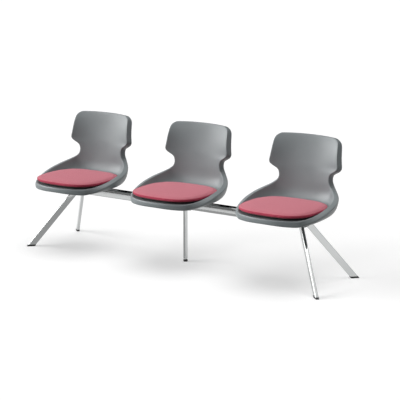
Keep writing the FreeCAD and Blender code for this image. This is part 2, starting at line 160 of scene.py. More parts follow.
@dataclass(frozen=True)
class SkinnedFoam(Finish):
    """Self-skinning polyurethane foam, cast in a mould: an even satin skin with a fine grain."""

    light: str = "7F8688"
    dark: str = "7B8284"
    roughness: float = 0.37
    ior: float = 1.45
    # tone and shine change slowly over a hand's width, as mould release leaves them
    cloud_mm: float = 140.0
    # the skin's grain is about 0.4 mm, drawn four times as coarse so that it shows
    grain_mm: float = 1.6

    def make(self) -> bpy.types.Material:
        """Builds the material.

        Returns:
            The finished material.
        """
        material, tree, place = self.start()
        clouds = add_node(tree, "ShaderNodeTexNoise", {
            "Vector": place, "Scale": per_metre(self.cloud_mm), "Detail": 3.0})
        tone = add_node(
            tree, "ShaderNodeValToRGB", {"Fac": clouds.outputs["Fac"]},
            ((0.35, linear(self.dark)), (0.65, linear(self.light))))
        shine = add_node(tree, "ShaderNodeMapRange", {
            "Value": clouds.outputs["Fac"], "From Min": 0.3, "From Max": 0.7,
            "To Min": self.roughness - 0.04, "To Max": self.roughness + 0.05})
        grain = add_node(tree, "ShaderNodeTexNoise", {
            "Vector": place, "Scale": per_metre(self.grain_mm), "Detail": 2.0, "Roughness": 0.6})
        bump = add_node(tree, "ShaderNodeBump", {
            "Height": grain.outputs["Fac"], "Strength": 0.10, "Distance": 0.0004})
        self.close(tree, {
            "Base Color": tone.outputs["Color"], "Roughness": shine.outputs["Result"],
            "Normal": bump.outputs["Normal"], "IOR": self.ior})
        return material


@dataclass(frozen=True)
class WovenWool(Finish):
    """Plain woven wool upholstery: matt, with crossing yarns and a faint pale bloom at a slant."""

    light: str = "CA7582"
    dark: str = "BE6775"
    roughness: float = 0.92
    # yarns lie about 2 mm apart; drawn a little over twice as far apart so that the weave shows
    yarn_mm: float = 4.5
    slub_mm: float = 6.0

    def make(self) -> bpy.types.Material:
        """Builds the material.

        Returns:
            The finished material.
        """
        material, tree, place = self.start()
        bands = {"Vector": place, "Scale": wave_scale(self.yarn_mm), "Distortion": 1.2,
                 "Detail": 2.0, "Detail Scale": 3.0}
        warp, weft = (
            add_node(tree, "ShaderNodeTexWave", bands, wave_type="BANDS", bands_direction=way)
            for way in ("X", "Y"))
        crossing = add_node(tree, "ShaderNodeMath", {
            0: warp.outputs["Fac"], 1: weft.outputs["Fac"]}, operation="MULTIPLY")
        slubs = add_node(tree, "ShaderNodeTexNoise", {
            "Vector": place, "Scale": per_metre(self.slub_mm), "Detail": 5.0})
        both = add_node(tree, "ShaderNodeMath", {
            0: crossing.outputs[0], 1: slubs.outputs["Fac"]}, operation="ADD")
        tone = add_node(
            tree, "ShaderNodeValToRGB", {"Fac": both.outputs[0]},
            ((0.35, linear(self.dark)), (0.95, linear(self.light))))
        bump = add_node(tree, "ShaderNodeBump", {
            "Height": crossing.outputs[0], "Strength": 0.35, "Distance": 0.0006})
        self.close(tree, {
            "Base Color": tone.outputs["Color"], "Normal": bump.outputs["Normal"],
            "Roughness": self.roughness, "Sheen Weight": 0.12, "Sheen Roughness": 0.5,
            "Specular IOR Level": 0.25})
        return material


@dataclass(frozen=True)
class ChromePlate(Finish):
    """Polished chrome plate on steel tube: a clear mirror with a faint polishing haze."""

    colour: str = "C4C6C6"
    roughness: float = 0.06
    haze_mm: float = 30.0
    ripple_mm: float = 60.0

    def make(self) -> bpy.types.Material:
        """Builds the material.

        Returns:
            The finished material.
        """
        material, tree, place = self.start()
        haze = add_node(tree, "ShaderNodeTexNoise", {
            "Vector": place, "Scale": per_metre(self.haze_mm), "Detail": 6.0})
        spread = add_node(tree, "ShaderNodeMapRange", {
            "Value": haze.outputs["Fac"],
            "To Min": self.roughness * 0.6, "To Max": self.roughness * 1.6})
        ripple = add_node(tree, "ShaderNodeTexNoise", {
            "Vector": place, "Scale": per_metre(self.ripple_mm), "Detail": 1.0})
        bump = add_node(tree, "ShaderNodeBump", {
            "Height": ripple.outputs["Fac"], "Strength": 0.05, "Distance": 0.001})
        self.close(tree, {
            "Base Color": linear(self.colour), "Metallic": 1.0,
            "Roughness": spread.outputs["Result"], "Normal": bump.outputs["Normal"]})
        return material


@dataclass(frozen=True)
class MouldedBlack(Finish):
    """Black polypropylene, injection moulded: a fine spark grain that scatters the light."""

    colour: str = "17181A"
    scuffed: str = "2A2B2D"
    roughness: float = 0.48
    ior: float = 1.49
    grain_mm: float = 1.0
    scuff_mm: float = 12.0

    def make(self) -> bpy.types.Material:
        """Builds the material.

        Returns:
            The finished material.
        """
        material, tree, place = self.start()
        grain = add_node(tree, "ShaderNodeTexNoise", {
            "Vector": place, "Scale": per_metre(self.grain_mm), "Detail": 3.0})
        bump = add_node(tree, "ShaderNodeBump", {
            "Height": grain.outputs["Fac"], "Strength": 0.2, "Distance": 0.0003})
        scuff = add_node(tree, "ShaderNodeTexNoise", {
            "Vector": place, "Scale": per_metre(self.scuff_mm), "Detail": 4.0})
        tone = add_node(
            tree, "ShaderNodeValToRGB", {"Fac": scuff.outputs["Fac"]},
            ((0.55, linear(self.colour)), (0.8, linear(self.scuffed))))
        self.close(tree, {
            "Base Color": tone.outputs["Color"], "Normal": bump.outputs["Normal"],
            "Roughness": self.roughness, "IOR": self.ior})
        return material


@dataclass(frozen=True)
class PowderCoat(Finish):
    """Polyester powder coat on folded steel: satin black with a slight orange peel."""

    colour: str = "1C1D1E"
    roughness: float = 0.5
    peel_mm: float = 2.5

    def make(self) -> bpy.types.Material:
        """Builds the material.

        Returns:
            The finished material.
        """
        material, tree, place = self.start()
        peel = add_node(tree, "ShaderNodeTexNoise", {
            "Vector": place, "Scale": per_metre(self.peel_mm), "Detail": 1.0})
        bump = add_node(tree, "ShaderNodeBump", {
            "Height": peel.outputs["Fac"], "Strength": 0.25, "Distance": 0.0003})
        self.close(tree, {
            "Base Color": linear(self.colour), "Roughness": self.roughness,
            "Normal": bump.outputs["Normal"]})
        return material


@dataclass(frozen=True)
class ZincPlate(Finish):
    """Bright zinc plate on fasteners: grey metal whose shine is cloudy."""

    colour: str = "B8B9B5"
    roughness: float = 0.34
    cloud_mm: float = 3.0

    def make(self) -> bpy.types.Material:
        """Builds the material.

        Returns:
            The finished material.
        """
        material, tree, place = self.start()
        clouds = add_node(tree, "ShaderNodeTexNoise", {
            "Vector": place, "Scale": per_metre(self.cloud_mm), "Detail": 4.0})
        spread = add_node(tree, "ShaderNodeMapRange", {
            "Value": clouds.outputs["Fac"],
            "To Min": self.roughness - 0.1, "To Max": self.roughness + 0.12})
        self.close(tree, {
            "Base Color": linear(self.colour), "Metallic": 1.0,
            "Roughness": spread.outputs["Result"]})
        return material


@dataclass(frozen=True)
class TurnedBrass(Finish):
    """Plain turned brass: warm yellow metal with fine turning lines."""

    colour: str = "C9A45C"
    roughness: float = 0.28
    line_mm: float = 1.0

    def make(self) -> bpy.types.Material:
        """Builds the material.

        Returns:
            The finished material.
        """
        material, tree, place = self.start()
        lines = add_node(tree, "ShaderNodeTexWave", {
            "Vector": place, "Scale": wave_scale(self.line_mm), "Distortion": 0.3},
            wave_type="BANDS", bands_direction="Z")
        bump = add_node(tree, "ShaderNodeBump", {
            "Height": lines.outputs["Fac"], "Strength": 0.2, "Distance": 0.0002})
        self.close(tree, {
            "Base Color": linear(self.colour), "Metallic": 1.0, "Roughness": self.roughness,
            "Normal": bump.outputs["Normal"]})
        return material


@dataclass(frozen=True)
class BirchPly(Finish):
    """Rotary-cut birch plywood, coloured near black as painted shade so that its edge under the
    cushion reads as the shadow gap; long soft grain along X.
    """

    # the grain's two tones are real; their near-black level is painted shade
    light: str = "4A3F36"
    dark: str = "33291F"
    roughness: float = 0.6
    grain_mm: float = 9.0
    grain_stretch: tuple = (0.12, 1.0, 1.0)

    def make(self) -> bpy.types.Material:
        """Builds the material.

        Returns:
            The finished material.
        """
        material, tree, place = self.start()
        drawn = add_node(tree, "ShaderNodeMapping", {"Vector": place, "Scale": self.grain_stretch})
        grain = add_node(tree, "ShaderNodeTexNoise", {
            "Vector": drawn.outputs["Vector"], "Scale": per_metre(self.grain_mm),
            "Detail": 6.0, "Distortion": 0.6})
        tone = add_node(
            tree, "ShaderNodeValToRGB", {"Fac": grain.outputs["Fac"]},
            ((0.35, linear(self.dark)), (0.65, linear(self.light))))
        bump = add_node(tree, "ShaderNodeBump", {
            "Height": grain.outputs["Fac"], "Strength": 0.15, "Distance": 0.0004})
        self.close(tree, {
            "Base Color": tone.outputs["Color"], "Roughness": self.roughness,
            "Normal": bump.outputs["Normal"]})
        return material


@dataclass(frozen=True)
class Finishes:
    """One material of each finish, shared by all the pieces."""

    foam: bpy.types.Material
    wool: bpy.types.Material
    # the side's wool is the top's wool made darker: painted shade on the side band and welt
    side_wool_painted_shade: bpy.types.Material
    thread: bpy.types.Material
    chrome: bpy.types.Material
    black: bpy.types.Material
    powder: bpy.types.Material
    zinc: bpy.types.Material
    brass: bpy.types.Material
    birch: bpy.types.Material

    @staticmethod
    def all() -> "Finishes":
        """Makes every material of the part."""
        return Finishes(
            foam=SkinnedFoam("skinned_polyurethane_foam").make(),
            wool=WovenWool("woven_wool_top").make(),
            # the side's deeper, darker rose is painted shade: a shaded copy of the top's wool, also
            # used on the welt
            side_wool_painted_shade=WovenWool("woven_wool_side_painted_shade", light="C04A60", dark="AA3A50").make(),
            thread=WovenWool("sewing_thread", light="CF8C95", dark="BC6F7A", yarn_mm=2.0).make(),
            chrome=ChromePlate("chrome_plate_on_steel").make(),
            black=MouldedBlack("moulded_black_polypropylene").make(),
            powder=PowderCoat("black_powder_coat").make(),
            zinc=ZincPlate("zinc_plated_steel").make(),
            brass=TurnedBrass("turned_brass").make(),
            # the board's near-black colour is painted shade: its edge under the cushion stands for
            # the shadow gap
            birch=BirchPly("birch_plywood_near_black_painted_shade").make(),
        )


def new_object(name: str, points: np.ndarray, faces: list,
               materials: list[bpy.types.Material]) -> bpy.types.Object:
    """Makes a smooth-shaded mesh object in the scene.

    Args:
        name: The piece's name.
        points: Corner places, one row each.
        faces: Corner numbers of each face.
        materials: The materials of its slots.

    Returns:
        The new object.
    """
    mesh = bpy.data.meshes.new(name)
    mesh.from_pydata([tuple(p) for p in points], [], faces)
    mesh.validate()
    for material in materials:
        mesh.materials.append(material)
    mesh.polygons.foreach_set("use_smooth", [True] * len(mesh.polygons))
    made = bpy.data.objects.new(name, mesh)
    bpy.context.scene.collection.objects.link(made)
    return made


def apply_modifiers(piece: bpy.types.Object) -> None:
    """Turns a piece's modifiers into its mesh.

    Args:
        piece: The object; its old mesh is removed.
    """
    graph = bpy.context.evaluated_depsgraph_get()
    mesh = bpy.data.meshes.new_from_object(piece.evaluated_get(graph))
    old = piece.data
    piece.modifiers.clear()
    piece.data = mesh
    bpy.data.meshes.remove(old)


def loop_tube(name: str, path: np.ndarray, radius: float, material: bpy.types.Material,
              sides: int = 10) -> bpy.types.Object:
    """Makes a round tube along points that close up.

    Args:
        name: The piece's name.
        path: Points of its centreline.
        radius: The tube's radius.
        material: Its finish.
        sides: Corners round the tube.

    Returns:
        The tube.
    """
    step = np.roll(path, -1, 0) - np.roll(path, 1, 0)
    step /= np.linalg.norm(step, axis=1, keepdims=True)
    side = np.cross(step, np.array([0.0, 0.0, 1.0]))
    side /= np.linalg.norm(side, axis=1, keepdims=True)
    top = np.cross(side, step)
    turns = (np.arange(sides) * 2 * math.pi / sides)[None, :, None]
    ring = side[:, None] * np.cos(turns) + top[:, None] * np.sin(turns)
    points = (path[:, None] + ring * radius).reshape(-1, 3)
    faces = []
    for i in range(len(path)):
        j = (i + 1) % len(path)
        for k in range(sides):
            n = (k + 1) % sides
            faces.append((i * sides + k, j * sides + k, j * sides + n, i * sides + n))
    return new_object(name, points, faces, [material])


@dataclass(frozen=True)
class ShellForm:
    """The sizes of one moulded shell, in millimetres.

    It starts from the cage in the part's source. The wings, the notch under them, the top edge,
    the front corners and the wall's thickness differ from it, to be closer to the photograph.
    """

    # each row: middle (y, z), rim (x, y, z), how late the row moves to the rim in y and z
    rows: tuple = (
        (-319, 415, 193, -262, 418, 2.5, 12),
        (-298, 415, 209, -234, 422, 2.4, 20),
        (-245, 415, 231, -180, 430, 2.3, 30),
        (-160, 414, 241, -115, 443, 2.3, 30),
        (-70, 413, 244, -60, 456, 2.3, 30),
        (15, 411, 241, -5, 467, 2.3, 30),
        (85, 414, 229, 42, 480, 3, 25),
        (122, 440, 208, 82, 494, 4, 16),
        (134, 478, 182, 110, 511, 4, 10),
        (137, 512, 162, 117, 530, 3, 5),
        (139, 543, 152, 120, 552, 2.5, 3),
        (141, 568, 152, 121, 576, 2.5, 3),
        (143, 592, 158, 120, 597, 2.5, 3),
        (145, 612, 178, 115, 613, 2.5, 3),
        (147, 630, 215, 106, 631, 2.5, 3),
        (151, 657, 206, 109, 658, 2.5, 3),
        (159, 715, 200, 120, 717, 2.5, 3),
        (166, 768, 197, 138, 764, 2.5, 3),
        (169, 787, 190, 149, 783, 2.5, 3),
        (171, 797, 164, 157, 793, 2.5, 3),
    )
    across: tuple = (-1.0, -0.96, -0.8, -0.42, 0.0, 0.42, 0.8, 0.96, 1.0)
    thickness: float = 28.0
    # towards the wings' edge and the pan's lower wall the shell gets thicker; at the pan's rim
    # itself only a share of that is added
    wing_extra: float = 9.0
    wing_power: int = 4
    wall_extra: float = 8.0
    wall_rim_share: float = 0.5
    first_wing_row: int = 9
    last_wall_row: int = 6
    mitre_limit: float = 0.7
    rim_bulge: float = 6.0
    rim_squareness: float = 3.2
    rim_steps: int = 9
    # the rim's direction is taken over this many neighbours on both sides, and a small step
    # tells whether it leads out of the shell or into it
    rim_neighbours: int = 4
    rim_probe: float = 10.0
    pieces_along: int = 4
    pieces_across: int = 6
    boss_x: float = 110.0
    boss_y: tuple = (-170.0, 60.0)
    boss_z: tuple = (382.2, 400.0)
    boss_edge: float = 4.0
    boss_edge_steps: int = 3

    def cage(self) -> np.ndarray:
        """The poles of the sitting surface.

        Returns:
            An array of rows of points.
        """
        u = np.abs(np.array(self.across))
        poles = []
        for middle_y, middle_z, rim_x, rim_y, rim_z, late_y, late_z in self.rows:
            y = middle_y + (rim_y - middle_y) * u ** late_y
            z = middle_z + (rim_z - middle_z) * u ** late_z
            poles.append(np.stack([rim_x * np.array(self.across), y, z], 1))
        return np.array(poles)

    def thickness_at(self, row: int, column: int) -> float:
        """The shell's thickness at a pole.

        Args:
            row: The pole's row, from the front.
            column: The pole's place across.

        Returns:
            Millimetres.
        """
        u = abs(self.across[column])
        if row >= self.first_wing_row:
            return self.thickness + self.wing_extra * u ** self.wing_power
        if row <= self.last_wall_row:
            return self.thickness + self.wall_extra * (u if u < 1.0 else self.wall_rim_share)
        return self.thickness

    def offset(self, cage: np.ndarray) -> np.ndarray:
        """The cage moved off its own surface by the shell's thickness, corners mitred.

        Args:
            cage: The poles of the sitting surface.

        Returns:
            The poles of the outside.
        """
        moved = cage.copy()
        long_count, wide_count = cage.shape[:2]
        for j in range(long_count):
            for i in range(wide_count):
                near = cage[j, max(i - 1, 0):i + 2]
                legs = np.diff(near, axis=0)
                legs /= np.linalg.norm(legs, axis=1, keepdims=True)
                across = (legs[0] + legs[-1]) / 2
                along = cage[min(j + 1, long_count - 1), i] - cage[max(j - 1, 0), i]
                normal = np.cross(across, along)
                normal /= np.linalg.norm(normal)
                mitre = max(float(np.linalg.norm(across)), self.mitre_limit)
                moved[j, i] = cage[j, i] - normal * self.thickness_at(j, i) / mitre
        return moved


def spline_weights(poles: int, places: np.ndarray) -> np.ndarray:
    """Weights of a clamped cubic B-spline.

    Args:
        poles: How many poles it has.
        places: Parameters from 0 to the number of spans.

    Returns:
        One row of weights for each place.
    """
    spans = poles - 3
    knots = np.concatenate([np.zeros(3), np.arange(spans + 1), np.full(3, spans)]).astype(float)
    t = np.clip(places, 0, spans - 1e-9)
    inside = [(t >= knots[k]) & (t < knots[k + 1]) for k in range(len(knots) - 1)]
    table = np.array(inside, float).T
    for degree in (1, 2, 3):
        rise = np.zeros((len(t), len(knots) - 1 - degree))
        for k in range(rise.shape[1]):
            first = knots[k + degree] - knots[k]
            second = knots[k + degree + 1] - knots[k + 1]
            if first > 0:
                rise[:, k] += (t - knots[k]) / first * table[:, k]
            if second > 0:
                rise[:, k] += (knots[k + degree + 1] - t) / second * table[:, k + 1]
        table = rise
    return table


class MouldedShell:
    """One bucket shell: smooth inside and outside with a soft rounded rim, and its boss."""

    def __init__(self, form: ShellForm, finishes: Finishes) -> None:
        """Keeps the sizes and finishes."""
        self.form = form
        self.finishes = finishes

    def surface(self, cage: np.ndarray) -> np.ndarray:
        """A fine grid of points on the smooth surface of a cage.

        Args:
            cage: The poles.

        Returns:
            Rows of points, in the cage's unit.
        """
        weights = []
        counts = (self.form.pieces_along, self.form.pieces_across)
        for poles, pieces in zip(cage.shape, counts):
            spans = poles - 3
            weights.append(spline_weights(poles, np.linspace(0, spans, spans * pieces + 1)))
        return np.einsum("vj,ui,jix->vux", weights[0], weights[1], cage)

    def border(self, rows: int, columns: int) -> list[tuple[int, int]]:
        """The grid's places round its edge, in order.

        Args:
            rows: How many rows the grid has.
            columns: How many places each row has.

        Returns:
            Row and column of each place.
        """
        front = [(0, i) for i in range(columns)]
        right = [(j, columns - 1) for j in range(1, rows)]
        top = [(rows - 1, i) for i in range(columns - 2, -1, -1)]
        left = [(j, 0) for j in range(rows - 2, 0, -1)]
        return front + right + top + left

    def rim(self, inner: np.ndarray, outer: np.ndarray, edge: list[tuple[int, int]]) -> np.ndarray:
        """The rounded rim's points between the two surfaces.

        Args:
            inner: Grid of the sitting surface.
            outer: Grid of the outside.
            edge: The places round the edge.

        Returns:
            For each place of the edge, its points from inner to outer.
        """
        start = np.array([inner[e] for e in edge])
        end = np.array([outer[e] for e in edge])
        centre = (start + end) / 2
        neighbours = range(1, self.form.rim_neighbours + 1)
        tangent = sum(np.roll(centre, -k, 0) - np.roll(centre, k, 0) for k in neighbours)
        away = np.cross(tangent, start - end)
        away /= np.linalg.norm(away, axis=1, keepdims=True)
        from_middle = centre - centre.mean(0)
        probe = from_middle + away * self.form.rim_probe * MM
        gain = (probe ** 2).sum(1) - (from_middle ** 2).sum(1)
        away *= np.sign(np.sign(gain).sum())
        power = 2 / self.form.rim_squareness
        turns = np.linspace(0, math.pi, self.form.rim_steps + 2)[1:-1]
        share = 0.5 - 0.5 * np.sign(np.cos(turns)) * np.abs(np.cos(turns)) ** power
        reach = np.abs(np.sin(turns)) ** power * self.form.rim_bulge * MM
        between = (end - start)[:, None] * share[None, :, None]
        return start[:, None] + between + away[:, None] * reach[None, :, None]

    def skin(self, seat: Seat) -> bpy.types.Object:
        """Builds the closed skin of one shell.

        Args:
            seat: Which seat it is.

        Returns:
            The shell.
        """
        cage = self.form.cage()
        inner = self.surface(cage) * MM
        outer = self.surface(self.form.offset(cage)) * MM
        rows, columns = inner.shape[:2]
        edge = self.border(rows, columns)
        rim = self.rim(inner, outer, edge)
        steps = rim.shape[1]
        points = np.concatenate([inner.reshape(-1, 3), outer.reshape(-1, 3), rim.reshape(-1, 3)])
        points[:, 0] += seat.value
        sheet = rows * columns
        faces = []
        for j in range(rows - 1):
            for i in range(columns - 1):
                a, b = j * columns + i, (j + 1) * columns + i
                faces.append((a, a + 1, b + 1, b))
                faces.append((sheet + a, sheet + b, sheet + b + 1, sheet + a + 1))
        # the points across the rim at each place of the edge, from inner to outer
        bands = []
        for k, (j, i) in enumerate(edge):
            first = 2 * sheet + k * steps
            bands.append([j * columns + i, *range(first, first + steps), sheet + j * columns + i])
        for low, high in zip(bands, bands[1:] + bands[:1]):
            for s in range(steps + 1):
                faces.append((low[s], low[s + 1], high[s + 1], high[s]))
        shell = new_object(seat.word + "_shell_skin", points, faces, [self.finishes.foam])
        smooth = shell.modifiers.new("smooth", "SUBSURF")
        smooth.levels = smooth.render_levels = 1
        return shell

    def boss(self, seat: Seat) -> bpy.types.Object:
        """Builds the flat moulded boss under the pan.

        Args:
            seat: Which seat it is.

        Returns:
            The boss.
        """
        form = self.form
        middle = seat.value / MM
        points = np.array([
            (x, y, z) for x in (middle - form.boss_x, middle + form.boss_x)
            for y in form.boss_y for z in form.boss_z]) * MM
        faces = [(0, 1, 3, 2), (4, 6, 7, 5), (0, 4, 5, 1), (2, 3, 7, 6), (0, 2, 6, 4), (1, 5, 7, 3)]
        block = new_object(seat.word + "_shell_boss", points, faces, [self.finishes.foam])
        bevel = block.modifiers.new("soft_edges", "BEVEL")
        bevel.width, bevel.segments = form.boss_edge * MM, form.boss_edge_steps
        apply_modifiers(block)
        return block

    def build(self, seat: Seat) -> None:
        """Builds a shell in place of its CAD node and reports it.

        Args:
            seat: Which seat it is.
        """
        shell = self.skin(seat)
        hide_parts(seat.word + "_shell")
        for piece in (shell, self.boss(seat)):
            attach(piece, "frame")
        log.info("%s shell: %d faces", seat.word, len(shell.data.polygons))


@dataclass(frozen=True)
class PadForm:
    """The sizes of one seat pad, in millimetres."""

    half_width: float = 235.0
    half_depth: float = 213.0
    middle_y: float = -108.0
    power: float = 2.8
    # outlines from the underside to the crown: share of the full oval, height
    levels: tuple = (
        (0.93, 427.6), (0.97, 431), (0.99, 437), (0.98, 443), (0.95, 446.5), (0.86, 449.5),
        (0.70, 451.5), (0.45, 453), (0.2, 453.6))
    sides: int = 96
    # filling with cloth: its grid, the pressure, the steps and how far a point may move
    voxel: float = 5.0
    pressure: float = 4.0
    cloth_steps: int = 20
    cap: float = 3.0
    seam_height: float = 443.5
    welt_radius: float = 1.7
    welt_points: int = 240
    # the line of stitches as a share of the full oval, and how finely it is followed
    stitch_share: float = 0.915
    stitch_places: int = 720
    stitch_length: float = 5.0
    stitch_gap: float = 2.5
    stitch_radius: float = 0.7
    stitch_end_radius: float = 0.3
    # where rays towards the cushion start: a share of the oval, and a height
    beyond: float = 1.3
    above: float = 500.0

    def oval(self, share: float, z: float, count: int) -> np.ndarray:
        """Points round the pad's outline.

        Args:
            share: The outline's size as a share of the full oval.
            z: Its height, in millimetres.
            count: How many points.

        Returns:
            The points, in metres.
        """
        turn = np.arange(count) * 2 * math.pi / count
        c, s = np.cos(turn), np.sin(turn)
        x = self.half_width * share * np.sign(c) * np.abs(c) ** (2 / self.power)
        y = self.middle_y + self.half_depth * share * np.sign(s) * np.abs(s) ** (2 / self.power)
        return np.stack([x, y, np.full(count, z)], 1) * MM


class SeatPad:
    """One upholstered seat pad: filled cushion, sewn welt round its edge and a row of stitches."""

    def __init__(self, form: PadForm, finishes: Finishes) -> None:
        """Keeps the sizes and finishes."""
        self.form = form
        self.finishes = finishes

    def blank(self) -> bpy.types.Object:
        """Builds the cut and sewn form before it is filled, at the middle seat.

        Returns:
            The closed form.
        """
        form = self.form
        rings = [form.oval(share, z, form.sides) for share, z in form.levels]
        points = np.concatenate([*rings, [rings[0].mean(0)], [rings[-1].mean(0)]])
        faces, count = [], form.sides
        for r in range(len(rings) - 1):
            a, b = r * count, (r + 1) * count
            for k in range(count):
                n = (k + 1) % count
                faces.append((a + k, a + n, b + n, b + k))
        low, high = len(rings) * count, len(rings) * count + 1
        last = (len(rings) - 1) * count
        for k in range(count):
            n = (k + 1) % count
            faces.append((n, k, low))
            faces.append((last + k, last + n, high))
        return new_object("pad_blank", points, faces, [])

    def fill(self, blank: bpy.types.Object) -> None:
        """Puffs the sewn form up with cloth simulation, holding it within a cap.

        Args:
            blank: The closed form; its mesh is replaced by the filled one.
        """
        form = self.form
        remesh = blank.modifiers.new("even_cloth", "REMESH")
        remesh.mode, remesh.voxel_size = "VOXEL", form.voxel * MM
        apply_modifiers(blank)
        rest = self.places(blank)
        cloth = blank.modifiers.new("filling", "CLOTH")
        cloth.settings.use_pressure = True
        cloth.settings.uniform_pressure_force = form.pressure
        cloth.settings.effector_weights.gravity = 0.0
        scene = bpy.context.scene
        for step in range(1, form.cloth_steps + 1):
            scene.frame_set(step)
        apply_modifiers(blank)
        scene.frame_set(1)
        moved = self.places(blank)
        step = moved - rest
        length = np.linalg.norm(step, axis=1, keepdims=True)
        moved = rest + step * np.minimum(1.0, form.cap * MM / np.maximum(length, 1e-9))
        # flat where it rests on its board
        moved[:, 2] = np.maximum(moved[:, 2], form.levels[0][1] * MM)
        blank.data.vertices.foreach_set("co", moved.astype(np.float32).ravel())
        fine = blank.modifiers.new("smooth", "SUBSURF")
        fine.levels = fine.render_levels = 1
        apply_modifiers(blank)

    def places(self, piece: bpy.types.Object) -> np.ndarray:
        """The places of a mesh's corners.

        Args:
            piece: The mesh object.

        Returns:
            One row for each corner, in metres.
        """
        co = np.zeros(len(piece.data.vertices) * 3, np.float32)
        piece.data.vertices.foreach_get("co", co)
        return co.reshape(-1, 3).astype(float)

    def dress(self, cushion: bpy.types.Object) -> None:
        """Gives the top its wool and the boxed side a darker copy of it, which is painted shade.

        Args:
            cushion: The filled cushion.
        """
        mesh = cushion.data
        mesh.materials.clear()
        mesh.materials.append(self.finishes.wool)
        mesh.materials.append(self.finishes.side_wool_painted_shade)
        centres = np.zeros(len(mesh.polygons) * 3, np.float32)
        mesh.polygons.foreach_get("center", centres)
        # faces below the seam take the darker wool: painted shade on the side band
        side = centres.reshape(-1, 3)[:, 2] < self.form.seam_height * MM
        mesh.polygons.foreach_set("material_index", side.astype(np.int32))
        mesh.polygons.foreach_set("use_smooth", [True] * len(mesh.polygons))

    def seam_path(self, cushion: bpy.types.Object) -> np.ndarray:
        """Points on the cushion's side at the seam's height, all round it.

        Args:
            cushion: The filled cushion at the middle seat.

        Returns:
            The points.
        """
        form = self.form
        tree = BVHTree.FromObject(cushion, bpy.context.evaluated_depsgraph_get())
        centre = Vector((0, form.middle_y * MM, form.seam_height * MM))
        path = []
        for p in form.oval(form.beyond, form.seam_height, form.welt_points):
            start = Vector(p)
            hit, _, _, _ = tree.ray_cast(start, (centre - start).normalized())
            path.append(tuple(hit if hit else start))
        return np.array(path)

    def stitches(self, name: str, cushion: bpy.types.Object) -> bpy.types.Object:
        """A row of stitches on the top, just inside the welt.

        Args:
            name: The piece's name.
            cushion: The filled cushion at the middle seat.

        Returns:
            All the stitches as one mesh.
        """
        form = self.form
        tree = BVHTree.FromObject(cushion, bpy.context.evaluated_depsgraph_get())
        line = form.oval(form.stitch_share, form.above, form.stitch_places)
        line = np.array([tuple(tree.ray_cast(Vector(p), Vector((0, 0, -1)))[0]) for p in line])
        ahead = np.roll(line, -1, 0) - line
        length = np.concatenate([[0], np.cumsum(np.linalg.norm(ahead, axis=1))])
        closed = np.concatenate([line, line[:1]])
        count = int(length[-1] / ((form.stitch_length + form.stitch_gap) * MM))
        points, faces, sides = [], [], len(HEXAGON)
        for k in range(count):
            ends = [k * length[-1] / count, k * length[-1] / count + form.stitch_length * MM]
            a, b = (np.array([np.interp(s, length, closed[:, c]) for c in range(3)]) for s in ends)
            middle = (a + b) / 2 + np.array([0, 0, form.stitch_radius * MM])
            way = (b - a) / np.linalg.norm(b - a)
            side = np.cross(way, [0, 0, 1.0])
            up = np.cross(side, way)
            base = len(points)
            thin, thick = form.stitch_end_radius * MM, form.stitch_radius * MM
            for centre, radius in ((a, thin), (middle, thick), (b, thin)):
                points += [centre + (side * c + up * s) * radius for c, s in HEXAGON]
            for r in (base, base + sides):
                for q in range(sides):
                    n = (q + 1) % sides
                    faces.append((r + q, r + n, r + sides + n, r + sides + q))
        return new_object(name, np.array(points), faces, [self.finishes.thread])

    def build(self) -> None:
        """Builds the three pads in place of their CAD nodes and reports them."""
        first = self.blank()
        self.fill(first)
        self.dress(first)
        welt = self.seam_path(first)
        for seat in Seat:
            shift = Matrix.Translation((seat.value, 0, 0))
            cushion = bpy.data.objects.new(seat.word + "_cushion", first.data.copy())
            bpy.context.scene.collection.objects.link(cushion)
            cushion.data.transform(shift)
            # the welt takes the side's darker wool, which is painted shade
            piping = loop_tube(
                seat.word + "_pad_welt", welt + np.array([seat.value, 0, 0]),
                self.form.welt_radius * MM, self.finishes.side_wool_painted_shade)
            sewing = self.stitches(seat.word + "_pad_stitches", first)
            sewing.data.transform(shift)
            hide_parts(seat.word + "_seat_pad")
            for piece in (cushion, piping, sewing):
                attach(piece, "frame")
            log.info("%s pad: %d faces", seat.word, len(cushion.data.polygons))
        bpy.data.objects.remove(first)


